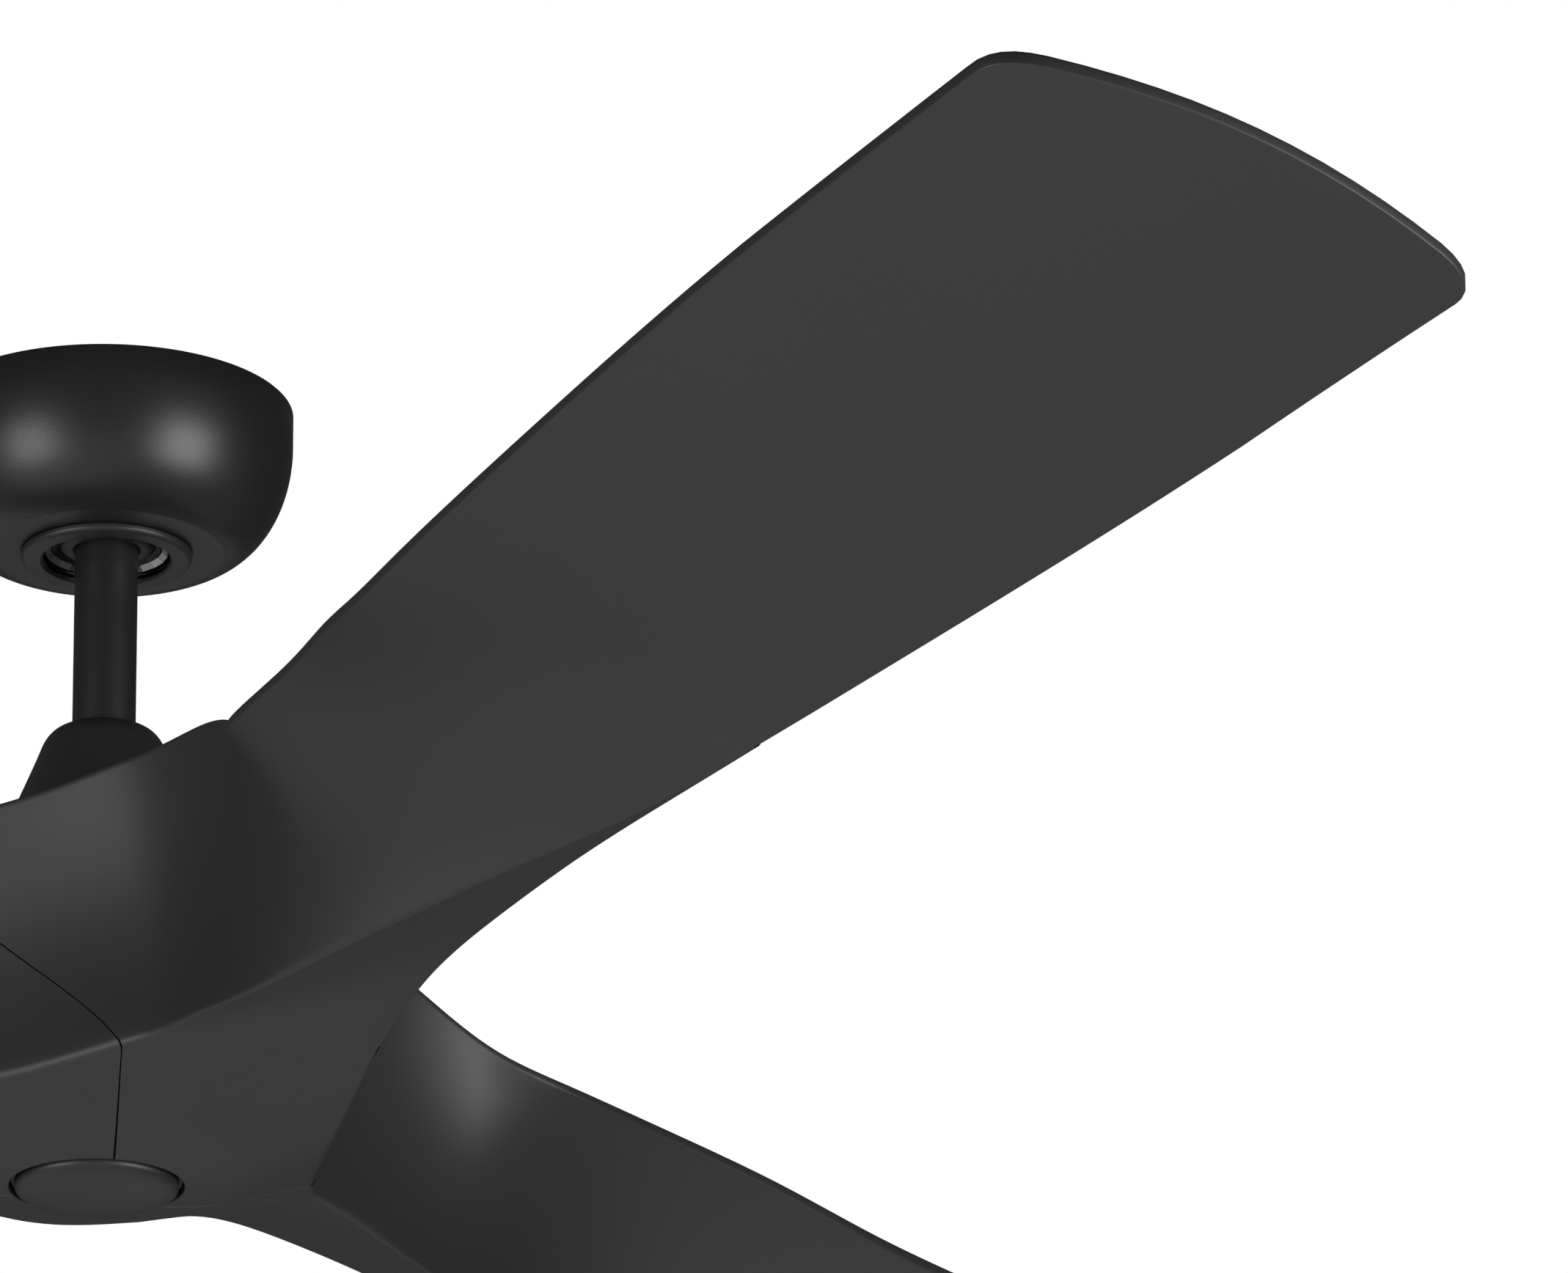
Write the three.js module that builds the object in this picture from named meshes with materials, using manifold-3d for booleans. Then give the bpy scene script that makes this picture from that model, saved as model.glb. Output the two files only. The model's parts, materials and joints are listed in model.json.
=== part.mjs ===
// Three-blade ceiling fan on a short downrod, hung from a ball joint under a round canopy.
// Millimetres, +Z up. The origin is the middle of the face that lies against the ceiling.
// The rotor turns about Z. Blade 1 points along -Y.
import * as THREE from 'three';
import { mergeVertices } from 'three/addons/utils/BufferGeometryUtils.js';
import Module from 'manifold-3d';

const wasm = await Module();
wasm.setup();

// ---------- driving dimensions ----------
const GAP = 0.3;                 // clearance between neighbouring solids
const ROD_RADIUS = 10.65;        // half-inch pipe
const ROD_BORE = 8;
const TIP_RADIUS = 803;          // sweep is twice this
const BLADE_COUNT = 3;
const BLADE_STEP = (2 * Math.PI) / BLADE_COUNT;
const BLADE_1_ANGLE = -Math.PI / 2;
const BLADE_THICKNESS = 4.5;

const CANOPY = { radius: 62.6, rim: 11.5, height: 50.7, flat: 38.4, wall: 1.5, hole: 22.5 };
const BALL = { z: -33, radius: 22, top: -22, bottom: -50 };
const SEAT = { inner: 22.3, outer: 24.3 };
const SOCKET = { inner: 24.6, outer: 27 };
const ROD = { top: -20, bottom: -145 };
const YOKE = { top: -126, bottom: -168, radius: 16 };
const SHAFT = { radius: 8, bore: 4, top: -147, bottom: -262 };
const COVER = { top: -114.6, bottom: -171.5, radius: 41, wall: 2 };
const MOTOR = { top: -208, bottom: -254, split: -231, radius: 66, wall: 3 };
const BEARING = { inner: 8.3, outer: 17, height: 6.7 };
const HUB_PLATE = { top: -203.7, thickness: 4, radius: 70, lobe: 95 };
const HUB_SHELL = { wall: 3, hole: 60, holeZ: -168 };
const CAP_RING = { radius: 28.8, z: -276.3 };
const CAP = { radius: 27.2, rim: -276.8, bottom: -281.2, top: -274.4, wall: 1.6 };
const SCREW = { shank: 2, head: 3.8, headHeight: 2.2 };

// ---------- materials ----------
const satinBlack = { color: 0x1b1b1c, roughness: 0.55, metalness: 0.0 };
const coatedSteel = { color: 0x1c1c1d, roughness: 0.5, metalness: 0.3 };
const zincSteel = { color: 0x9a9ca0, roughness: 0.4, metalness: 0.9 };
const castAluminium = { color: 0x8d9094, roughness: 0.5, metalness: 0.8 };
const copper = { color: 0xa8562a, roughness: 0.4, metalness: 0.9 };
const nylon = { color: 0xd9d6cc, roughness: 0.6, metalness: 0.0 };
const blackNylon = { color: 0x18181a, roughness: 0.6, metalness: 0.0 };
const ferrite = { color: 0x3a3b3f, roughness: 0.7, metalness: 0.2 };

// ---------- general helpers ----------
const assembly = new THREE.Group();
assembly.name = 'ceiling_fan';

// Position-only geometry with shared vertices, wound so that its faces point out.
function closed(geometry) {
  const bare = geometry.clone();
  for (const name of ['normal', 'uv', 'uv1', 'uv2']) bare.deleteAttribute(name);
  const merged = mergeVertices(bare, 1e-4);
  const p = merged.attributes.position;
  const index = merged.index.array;
  const kept = [];
  let volume = 0;
  for (let i = 0; i < index.length; i += 3) {
    const [a, b, c] = [index[i], index[i + 1], index[i + 2]];
    if (a === b || b === c || a === c) continue;
    kept.push(a, b, c);
    const va = new THREE.Vector3().fromBufferAttribute(p, a);
    const vb = new THREE.Vector3().fromBufferAttribute(p, b);
    const vc = new THREE.Vector3().fromBufferAttribute(p, c);
    volume += va.dot(vb.cross(vc));
  }
  if (volume < 0) {
    for (let i = 0; i < kept.length; i += 3) [kept[i], kept[i + 1]] = [kept[i + 1], kept[i]];
  }
  merged.setIndex(kept);
  return merged;
}

function solid(geometry) {
  const merged = closed(geometry);
  return new wasm.Manifold(new wasm.Mesh({
    numProp: 3,
    vertProperties: Float32Array.from(merged.attributes.position.array),
    triVerts: Uint32Array.from(merged.index.array),
  }));
}

function surface(manifold) {
  const mesh = manifold.getMesh();
  const geometry = new THREE.BufferGeometry();
  geometry.setAttribute('position', new THREE.BufferAttribute(Float32Array.from(mesh.vertProperties), 3));
  geometry.setIndex(Array.from(mesh.triVerts));
  return geometry;
}

function joined(first, ...others) {
  return others.reduce((sum, other) => sum.add(other), first);
}

function cut(first, ...others) {
  return others.reduce((rest, other) => rest.subtract(other), first);
}

function place(name, shape, look) {
  const geometry = shape.isBufferGeometry ? closed(shape) : surface(shape);
  const mesh = new THREE.Mesh(geometry, new THREE.MeshStandardMaterial(look));
  mesh.name = name;
  assembly.add(mesh);
  return mesh;
}

// A turned piece: the profile is a closed loop of [radius, height] points.
function turned(profile, segments = 40) {
  const points = profile.map(([r, z]) => new THREE.Vector2(r, z));
  const onAxis = profile[0][0] === 0 && profile[profile.length - 1][0] === 0;
  if (!onAxis) points.push(points[0].clone());
  return new THREE.LatheGeometry(points, segments).rotateX(Math.PI / 2);
}

function ring(inner, outer, low, high, segments = 32) {
  return turned([[inner, low], [outer, low], [outer, high], [inner, high]], segments);
}

function disc(radius, low, high, segments = 24) {
  return turned([[0, low], [radius, low], [radius, high], [0, high]], segments);
}

function block(width, depth, height, x, y, z) {
  return new THREE.BoxGeometry(width, depth, height).translate(x, y, z);
}

// A straight pin with its middle at the origin, along X.
function crossPin(radius, length, segments = 16) {
  return new THREE.CylinderGeometry(radius, radius, length, segments).rotateZ(Math.PI / 2);
}

function samples(path, steps) {
  return path.getPoints(steps).map((p) => [p.x, p.y]);
}

// A pan-head screw, standing on its head, with its shank along +Z from z = 0.
function screwShape(length) {
  const { shank, head, headHeight } = SCREW;
  return turned([[0, -headHeight], [head * 0.8, -headHeight], [head, -headHeight * 0.6],
    [head, 0], [shank, 0], [shank, length], [0, length]], 8);
}

function polar(radius, angle, z = 0) {
  return new THREE.Vector3(radius * Math.cos(angle), radius * Math.sin(angle), z);
}

// ---------- ceiling side: bracket, canopy, receiver ----------
// A band of a hollow sphere, between two angles measured from straight down.
function sphereBand(inner, outer, z, from, to, segments = 24) {
  const steps = 4;
  const arc = (radius, a, b) => Array.from({ length: steps + 1 }, (_, i) => {
    const angle = THREE.MathUtils.degToRad(a + ((b - a) * i) / steps);
    return [radius * Math.sin(angle), z - radius * Math.cos(angle)];
  });
  return turned([...arc(outer, from, to), ...arc(inner, to, from)], segments);
}

const CANOPY_SCREW_RADIUS = 24.6;

function hangerBracket() {
  const plate = solid(block(100, 36, 3, 0, 0, -1.5));
  const arm = (side) => solid(block(3, 18, 33, side * 27, 0, -18.5));
  const tab = (side) => solid(block(12, 10, 2.6, 0, side * 26, -47.6));
  const socket = solid(sphereBand(SOCKET.inner, SOCKET.outer, BALL.z, 50, 94));
  const wireHole = solid(disc(7, -4, 1, 20).translate(-38, 0, 0));
  const throughHole = (side) => solid(disc(2.4, -60, -40, 8).translate(0, side * CANOPY_SCREW_RADIUS, 0));
  const body = joined(plate, arm(1), arm(-1), tab(1), tab(-1), socket);
  return cut(body, wireHole, throughHole(1), throughHole(-1));
}

function canopyProfile() {
  const { radius, rim, height, flat, wall, hole } = CANOPY;
  const dome = new THREE.CubicBezierCurve(new THREE.Vector2(radius - 0.5, -rim - 0.8),
    new THREE.Vector2(radius - 0.8, -height * 0.62), new THREE.Vector2(flat + 14, -height + 3.5),
    new THREE.Vector2(flat, -height));
  const inside = new THREE.CubicBezierCurve(new THREE.Vector2(flat, -height + wall),
    new THREE.Vector2(flat + 13, -height + 5), new THREE.Vector2(radius - wall - 0.8, -height * 0.6),
    new THREE.Vector2(radius - wall - 0.5, -rim - 0.8));
  return [[radius, 0], [radius, -rim], ...samples(dome, 7), [hole, -height],
    [hole, -height + wall], ...samples(inside, 5), [radius - wall, -rim], [radius - wall, 0]];
}

function canopy() {
  const shell = solid(turned(canopyProfile(), 36));
  const hole = (side) => solid(disc(2.4, -60, -45, 8).translate(0, side * CANOPY_SCREW_RADIUS, 0));
  const holes = [hole(1), hole(-1)];
  return cut(shell, ...holes);
}

function trimRing() {
  const top = -CANOPY.height - GAP;
  return turned([[21.4, top - 1.6], [22, top - 2.6], [28.2, top - 2.6], [28.9, top - 1.9],
    [28.9, top], [27.6, top], [27.6, top - 1.5], [22.6, top - 1.5], [21.4, top - 0.9]], 32);
}

function canopyScrew() {
  return turned([[0, -52.2], [2.6, -52.2], [2.6, -51], [2, -51], [2, -42], [0, -42]], 8);
}

place('hanger_bracket', hangerBracket(), zincSteel);
place('canopy', canopy(), coatedSteel);
place('canopy_trim_ring', trimRing(), satinBlack);
for (const side of [1, -1]) {
  const screw = place(side > 0 ? 'canopy_screw_1' : 'canopy_screw_2', canopyScrew(), zincSteel);
  screw.position.y = side * CANOPY_SCREW_RADIUS;
}
place('receiver', block(52, 20, 18, 0, 40, -14), blackNylon);

// ---------- ball joint, downrod and yoke ----------
const PIN_RADIUS = 2.8;
const BALL_PIN_LENGTH = 34;

function hangerBall() {
  const steps = 6;
  const low = Math.acos((BALL.z - BALL.bottom) / BALL.radius);
  const high = Math.acos((BALL.z - BALL.top) / BALL.radius);
  const skin = Array.from({ length: steps + 1 }, (_, i) => {
    const angle = low + ((high - low) * i) / steps;
    return [BALL.radius * Math.sin(angle), BALL.z - BALL.radius * Math.cos(angle)];
  });
  const bore = ROD_RADIUS + GAP;
  const body = solid(turned([[bore, BALL.bottom], ...skin, [bore, BALL.top]], 24));
  return cut(body, solid(crossPin(PIN_RADIUS + GAP, 60).translate(0, 0, BALL.z)));
}

function downrod() {
  const tube = solid(ring(ROD_BORE, ROD_RADIUS, ROD.bottom, ROD.top, 28));
  const hole = (z) => solid(crossPin(PIN_RADIUS + GAP, 60).translate(0, 0, z));
  return cut(tube, hole(BALL.z), hole(YOKE.top - 9));
}

const CABLE_RADIUS = 3;

// The pin crosses the rod's bore above the place where the cable starts.
function ballPin() {
  return crossPin(PIN_RADIUS, BALL_PIN_LENGTH).translate(0, 0, BALL.z);
}

function yoke() {
  const bore = ROD_RADIUS + GAP;
  const shaftBore = SHAFT.radius + GAP;
  const shoulder = ROD.bottom - 1;
  const body = solid(turned([[bore, shoulder], [shaftBore, shoulder], [shaftBore, YOKE.bottom],
    [YOKE.radius - 1, YOKE.bottom], [YOKE.radius, YOKE.bottom + 1], [YOKE.radius, YOKE.top - 1],
    [YOKE.radius - 1, YOKE.top], [bore, YOKE.top]], 24));
  const pinHole = solid(crossPin(PIN_RADIUS + GAP, 60).translate(0, 0, YOKE.top - 9));
  const screwHole = (side, z) => solid(crossPin(2 + GAP, 14, 12).rotateZ(Math.PI / 2)
    .translate(0, side * 14, z));
  return cut(body, pinHole, screwHole(1, -138), screwHole(-1, -156));
}

// Set screws press on the rod and on the motor shaft from the side.
function setScrew(side, z, tip) {
  const length = YOKE.radius - 0.5 - tip;
  return crossPin(2, length, 12).rotateZ(Math.PI / 2).translate(0, side * (tip + length / 2), z);
}

function couplingCover() {
  const { top, bottom, radius, wall } = COVER;
  const outside = new THREE.CubicBezierCurve(new THREE.Vector2(19.5, top - 3.2),
    new THREE.Vector2(26, top - 17), new THREE.Vector2(32, bottom + 22), new THREE.Vector2(radius, bottom));
  const inside = new THREE.CubicBezierCurve(new THREE.Vector2(radius - wall - 0.3, bottom),
    new THREE.Vector2(30, bottom + 22), new THREE.Vector2(24, top - 18), new THREE.Vector2(17.8, top - 4.5));
  return turned([[ROD_RADIUS + GAP, top + 0.6], [14.5, top], [17.5, top - 1.1], ...samples(outside, 5),
    ...samples(inside, 4), [16.5, top - 2.6], [ROD_RADIUS + GAP, top - 1.8]], 32);
}

place('ball_seat', sphereBand(SEAT.inner, SEAT.outer, BALL.z, 48, 92), nylon);
place('hanger_ball', hangerBall(), blackNylon);
place('ball_pin', ballPin(), zincSteel);
place('downrod', downrod(), coatedSteel);
place('motor_cable', disc(CABLE_RADIUS, -224, BALL.z - 4, 12), blackNylon);
place('yoke', yoke(), castAluminium);
place('yoke_set_screw_upper', setScrew(1, -138, ROD_RADIUS + GAP), zincSteel);
place('yoke_set_screw_lower', setScrew(-1, -156, SHAFT.radius + GAP), zincSteel);
place('coupling_cover', couplingCover(), satinBlack);

// The pin through the yoke is in two parts, one from each side, and both stop short of the cable.
function yokePin(side) {
  const inner = CABLE_RADIUS + GAP;
  const outer = YOKE.radius + 3;
  return crossPin(PIN_RADIUS, outer - inner).translate((side * (outer + inner)) / 2, 0, YOKE.top - 9);
}
place('yoke_bolt_left', yokePin(-1), zincSteel);
place('yoke_bolt_right', yokePin(1), zincSteel);

// ---------- motor ----------
function housing(outerFace, splitFace, direction) {
  const wall = MOTOR.wall * direction;
  const inner = MOTOR.radius - MOTOR.wall;
  const bossEnd = outerFace + wall + direction * (BEARING.height + GAP);
  const boss = BEARING.outer + GAP;
  return turned([[BEARING.inner + 1.5, outerFace], [MOTOR.radius, outerFace], [MOTOR.radius, splitFace],
    [inner, splitFace], [inner, outerFace + wall], [boss + 3, outerFace + wall], [boss + 3, bossEnd],
    [boss, bossEnd], [boss, outerFace + wall], [BEARING.inner + 1.5, outerFace + wall]], 28);
}

function bearing(start, direction) {
  const end = start + direction * BEARING.height;
  return ring(BEARING.inner, BEARING.outer, Math.min(start, end), Math.max(start, end), 20);
}

// Laminated core: a hub, and a ring of T-shaped teeth that face the magnets.
function statorCore(low, high) {
  const teeth = 12;
  const outline = [];
  const step = (2 * Math.PI) / teeth;
  for (let i = 0; i < teeth; i += 1) {
    const corner = (radius, offset) => {
      const p = polar(radius, i * step + offset * step);
      outline.push(new THREE.Vector2(p.x, p.y));
    };
    corner(28, -0.5);
    corner(28, -0.2);
    corner(51, -0.12);
    corner(55, -0.42);
    corner(55, 0.42);
    corner(51, 0.12);
    corner(28, 0.2);
  }
  const shape = new THREE.Shape(outline);
  const hole = new THREE.Path();
  hole.absarc(0, 0, SHAFT.radius + GAP, 0, 2 * Math.PI, true);
  shape.holes.push(hole);
  return new THREE.ExtrudeGeometry(shape, { depth: high - low, bevelEnabled: false, curveSegments: 12 })
    .translate(0, 0, low);
}

function winding(low, high) {
  const middle = (low + high) / 2;
  return turned([[30, middle], [32, low], [47, low], [49, middle], [47, high], [32, high]], 24);
}

place('motor_shaft', ring(SHAFT.bore, SHAFT.radius, SHAFT.bottom, SHAFT.top, 28), zincSteel);
place('stator_core', statorCore(-243, -219), zincSteel);
place('winding_upper', winding(-218.5, -212.5), copper);
place('winding_lower', winding(-249.5, -243.5), copper);
place('motor_housing_top', housing(MOTOR.top, MOTOR.split + GAP / 2, -1), castAluminium);
place('motor_housing_bottom', housing(MOTOR.bottom, MOTOR.split - GAP / 2, 1), castAluminium);
place('bearing_upper', bearing(MOTOR.top - MOTOR.wall - GAP, -1), zincSteel);
place('bearing_lower', bearing(MOTOR.bottom + MOTOR.wall + GAP, 1), zincSteel);
place('magnet_ring', ring(58, MOTOR.radius - MOTOR.wall - GAP, -245, -217, 28), ferrite);

// ---------- blades ----------
// Rails of one blade in its own frame: X runs out along the blade, Y towards the trailing edge.
// Every row is one place along the blade: leading edge, lower crease, trailing edge, each [x, y, z].
const BLADE_ROWS = [
  [[99, -27, -164], [96, -21, -256.5], [96, 58, -251]],
  [[131, -23.5, -166], [123, -17, -257], [125, 57.5, -241]],
  [[155, -28, -175.5], [150, -15, -260], [150, 58, -236]],
  [[181, -37.5, -186], [180, -8, -259], [180, 60, -232.5]],
  [[208, -46.5, -192.5], [225, 7, -255], [225, 61.5, -231]],
  [[260, -52, -196.5], [273, 26, -249.5], [273, 63.5, -230.5]],
  [[316, -62, -202], [316, 46.5, -243], [316, 64.5, -231.5]],
  [[366, -73, -211.5], [366, 61, -236.5], [366, 64, -235.5]],
  [[430, -82, -216.5], [430, 65, -236.5], [430, 68, -235.5]],
  [[530, -87, -216.5], [530, 69, -238], [530, 72.5, -237.5]],
  [[650, -85, -211], [650, 71, -241.5], [650, 74.5, -241]],
  [[775, -79, -206.5], [775, 69, -246], [775, 72.5, -245.5]],
];
// The rounded end: how far short of the tip, and how much of the half chord is left there.
const TIP_ROWS = [[16, 0.95], [8, 0.84], [3, 0.62], [0, 0.3]];

function rail(column) {
  const points = BLADE_ROWS.map((row) => new THREE.Vector3(...row[column]));
  return new THREE.CatmullRomCurve3(points, false, 'centripetal');
}

// One cross section, as a closed loop of eight points: underside first, then the top.
function bladeSection(lead, crease, trail) {
  const up = (point, height) => new THREE.Vector3(point.x, point.y, point.z + height);
  const mid = (a, b, share) => a.clone().lerp(b, share);
  const hollow = Math.min(6, Math.abs(crease.z - trail.z) * 0.3);
  const underside = [lead, up(mid(lead, crease, 0.45), hollow), crease, trail];
  const topLead = up(lead, BLADE_THICKNESS);
  const topTrail = up(trail, BLADE_THICKNESS * 0.8);
  const topMiddle = [up(mid(topTrail, topLead, 0.35), 2), up(mid(topTrail, topLead, 0.7), 2.5)];
  return [...underside, topTrail, ...topMiddle, topLead];
}

// Triangles over one closed section, wound the same way round as the section itself.
function sectionFaces(flat) {
  const faces = THREE.ShapeUtils.triangulateShape(flat, []);
  const sameWay = ([i, j, k]) => Math.sign(THREE.ShapeUtils.area([flat[i], flat[j], flat[k]]))
    === Math.sign(THREE.ShapeUtils.area(flat));
  return faces.map((face) => (sameWay(face) ? face : [face[0], face[2], face[1]]));
}

// A closed skin over a row of sections with equal point counts. flatten lays a section in a plane.
function loft(sections, flatten) {
  const count = sections[0].length;
  const positions = sections.flat().flatMap((p) => [p.x, p.y, p.z]);
  const index = [];
  for (let s = 0; s + 1 < sections.length; s += 1) {
    for (let i = 0; i < count; i += 1) {
      const a = s * count + i;
      const b = s * count + ((i + 1) % count);
      index.push(a, b, a + count, b, b + count, a + count);
    }
  }
  const end = (sections.length - 1) * count;
  for (const [a, b, c] of sectionFaces(sections[0].map(flatten))) index.push(a, c, b);
  for (const [a, b, c] of sectionFaces(sections[sections.length - 1].map(flatten))) {
    index.push(end + a, end + b, end + c);
  }
  const geometry = new THREE.BufferGeometry();
  geometry.setAttribute('position', new THREE.Float32BufferAttribute(positions, 3));
  geometry.setIndex(index);
  return geometry;
}

function bladePlate() {
  const steps = 18;
  const rails = [rail(0), rail(1), rail(2)];
  const sections = [];
  for (let i = 0; i <= steps; i += 1) {
    sections.push(bladeSection(...rails.map((r) => r.getPoint(i / steps))));
  }
  const last = rails.map((r) => r.getPoint(1));
  const middle = last[0].clone().add(last[2]).multiplyScalar(0.5);
  for (const [short, share] of TIP_ROWS) {
    const drawn = last.map((p) => middle.clone().lerp(p, share).setX(TIP_RADIUS - short));
    sections.push(bladeSection(...drawn));
  }
  return loft(sections, (p) => new THREE.Vector2(p.y, p.z));
}

// The ridge round the bottom of the hub and the rim round its top: angle in degrees, radius, height.
const RIDGE = [[-19, 89, -257], [-11, 102, -256], [9, 101, -253], [29, 115, -250], [45, 90, -260],
  [67, 77, -263], [88, 80, -260], [101, 89, -257]];
const RIM = [[-19, 96, -162], [-13, 105, -160], [7, 112, -172], [27, 114, -187], [42, 97, -179],
  [62, 84, -172], [82, 82, -167], [97, 91, -163], [101, 96, -162]];

function along(table, degrees) {
  const next = Math.max(1, table.findIndex(([angle]) => angle >= degrees - 1e-6));
  const [a, b] = [table[next - 1], table[next]];
  const share = (degrees - a[0]) / (b[0] - a[0]);
  return { radius: a[1] + (b[1] - a[1]) * share, z: a[2] + (b[2] - a[2]) * share };
}

function wallRadius(degrees, z) {
  const low = along(RIDGE, degrees);
  const high = along(RIM, degrees);
  return low.radius + ((high.radius - low.radius) * (z - low.z)) / (high.z - low.z);
}

// A stretch round the axis, swept by the given section between two angles in degrees.
function hubSector(section, from, to, steps) {
  const sections = [];
  for (let i = 0; i <= steps; i += 1) {
    const degrees = from + ((to - from) * i) / steps;
    sections.push(section(degrees).map(([r, z]) => polar(r, THREE.MathUtils.degToRad(degrees), z)));
  }
  return loft(sections, (p) => new THREE.Vector2(Math.hypot(p.x, p.y), p.z));
}

function hubShellSection(degrees) {
  const low = along(RIDGE, degrees);
  const high = along(RIM, degrees);
  const { wall, hole, holeZ } = HUB_SHELL;
  return [[CAP_RING.radius, CAP_RING.z], [low.radius, low.z], [high.radius, high.z], [hole, holeZ],
    [hole, holeZ - wall], [high.radius - wall * 1.2, high.z - wall * 1.2],
    [low.radius - wall * 1.1, low.z + wall * 0.9], [CAP_RING.radius, CAP_RING.z + wall]];
}

// A ledge inside the blade's root carries the hub plate's lobe.
const LEDGE = { inner: 80, low: -213, high: HUB_PLATE.top - HUB_PLATE.thickness - GAP, from: -5, to: 23 };

function ledgeSection(degrees) {
  const low = wallRadius(degrees, LEDGE.low) - 1.5;
  const high = wallRadius(degrees, LEDGE.high) - 1.5;
  return [[LEDGE.inner, LEDGE.low], [low, LEDGE.low], [high, LEDGE.high], [LEDGE.inner, LEDGE.high]];
}

const BLADE_SCREW_ANGLES = [1, 17];
const BLADE_SCREW_RADIUS = 88;
const LEDGE_HOLE = SCREW.shank + GAP;

// The inside of the hub, which the blade's root must leave free.
function hubInside() {
  return disc(wallRadius(LEDGE.from, LEDGE.high) - HUB_SHELL.wall - 6, -250, HUB_SHELL.holeZ - 8, 48);
}

function bladeSolid() {
  const plate = cut(solid(bladePlate()), solid(hubInside()));
  const shell = solid(hubSector(hubShellSection, -18.7, 100.7, 18));
  const ledge = solid(hubSector(ledgeSection, LEDGE.from, LEDGE.to, 4));
  const holes = BLADE_SCREW_ANGLES.map((degrees) => {
    const at = polar(BLADE_SCREW_RADIUS, THREE.MathUtils.degToRad(degrees));
    return solid(disc(LEDGE_HOLE, LEDGE.low - 2, LEDGE.high + 2, 8).translate(at.x, at.y, 0));
  });
  return cut(joined(plate, shell, ledge), ...holes);
}

const bladeGeometry = surface(bladeSolid());
for (let k = 0; k < BLADE_COUNT; k += 1) {
  const blade = place(`blade_${k + 1}`, bladeGeometry, satinBlack);
  blade.rotation.z = BLADE_1_ANGLE + k * BLADE_STEP;
}

// ---------- hub: plate, covers, cap ----------
const HUB_SCREW_RADIUS = 50;

function hubPlate() {
  const low = HUB_PLATE.top - HUB_PLATE.thickness;
  const shape = new THREE.Shape();
  for (let k = 0; k < BLADE_COUNT; k += 1) {
    const turn = BLADE_1_ANGLE + k * BLADE_STEP;
    const [from, to] = [LEDGE.from, LEDGE.to].map((degrees) => turn + THREE.MathUtils.degToRad(degrees));
    shape.absarc(0, 0, HUB_PLATE.lobe, from, to, false);
    shape.absarc(0, 0, HUB_PLATE.radius, to, from + BLADE_STEP, false);
  }
  const middle = new THREE.Path();
  middle.absarc(0, 0, 24, 0, 2 * Math.PI, true);
  shape.holes.push(middle);
  const body = solid(new THREE.ExtrudeGeometry(shape, { depth: HUB_PLATE.thickness, bevelEnabled: false,
    curveSegments: 12 }).translate(0, 0, low));
  const holes = [];
  for (let k = 0; k < BLADE_COUNT; k += 1) {
    const turn = BLADE_1_ANGLE + k * BLADE_STEP;
    for (const degrees of BLADE_SCREW_ANGLES) {
      holes.push(polar(BLADE_SCREW_RADIUS, turn + THREE.MathUtils.degToRad(degrees)));
    }
    holes.push(polar(HUB_SCREW_RADIUS, turn));
  }
  return cut(body, ...holes.map((at) => solid(disc(SCREW.shank + GAP, low - 2, HUB_PLATE.top + 2, 8)
    .translate(at.x, at.y, 0))));
}

// Screws go down through the hub plate, so each is turned over and stands on the plate.
function plateScrew(name, at, length) {
  const screw = place(name, screwShape(length).rotateX(Math.PI), zincSteel);
  screw.position.set(at.x, at.y, HUB_PLATE.top + GAP);
}

// A ring round the coupling cover that closes the hub's top hole and stands on the hub plate.
function rotorTopCover() {
  const foot = HUB_PLATE.top + GAP;
  return turned([[43.8, -171.8], [59, -169], [59.6, -170], [59.6, foot], [57.6, foot], [57.6, -171.5],
    [43.8, -173.8]], 36);
}

// A flanged cup under the motor that the cap snaps into.
function capBase() {
  return turned([[20, MOTOR.bottom - GAP], [20, -271], [6, -271], [6, -274], [28.4, -274], [28.4, -271.6],
    [23, -271.2], [23, MOTOR.bottom - GAP]], 28);
}

function bottomCap() {
  const { radius, rim, bottom, top, wall } = CAP;
  const outside = new THREE.CubicBezierCurve(new THREE.Vector2(0, bottom), new THREE.Vector2(12, bottom),
    new THREE.Vector2(23, bottom + 1.4), new THREE.Vector2(radius, rim));
  const inside = new THREE.CubicBezierCurve(new THREE.Vector2(radius - wall, rim + 1),
    new THREE.Vector2(22, bottom + wall + 1.2), new THREE.Vector2(12, bottom + wall),
    new THREE.Vector2(0, bottom + wall));
  return turned([...samples(outside, 5), [radius, top], [radius - wall, top], ...samples(inside, 4)], 28);
}

place('hub_plate', hubPlate(), zincSteel);
for (let k = 0; k < BLADE_COUNT; k += 1) {
  const turn = BLADE_1_ANGLE + k * BLADE_STEP;
  BLADE_SCREW_ANGLES.forEach((degrees, i) => {
    const at = polar(BLADE_SCREW_RADIUS, turn + THREE.MathUtils.degToRad(degrees));
    plateScrew(`blade_${k + 1}_screw_${i + 1}`, at, 11);
  });
  plateScrew(`hub_screw_${k + 1}`, polar(HUB_SCREW_RADIUS, turn), HUB_PLATE.thickness);
}
place('rotor_top_cover', rotorTopCover(), satinBlack);
place('cap_base', capBase(), blackNylon);
place('bottom_cap', bottomCap(), satinBlack);

export default assembly;
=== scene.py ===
"""Looks for the ceiling fan: fine blade, cover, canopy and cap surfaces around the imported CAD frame.

Shapes below are in millimetres, in the row frame (+Z up, origin at the ceiling). MM turns them into metres.
"""
import json
import math

import bmesh
import bpy
import numpy as np
from mathutils import Matrix, Vector


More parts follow.
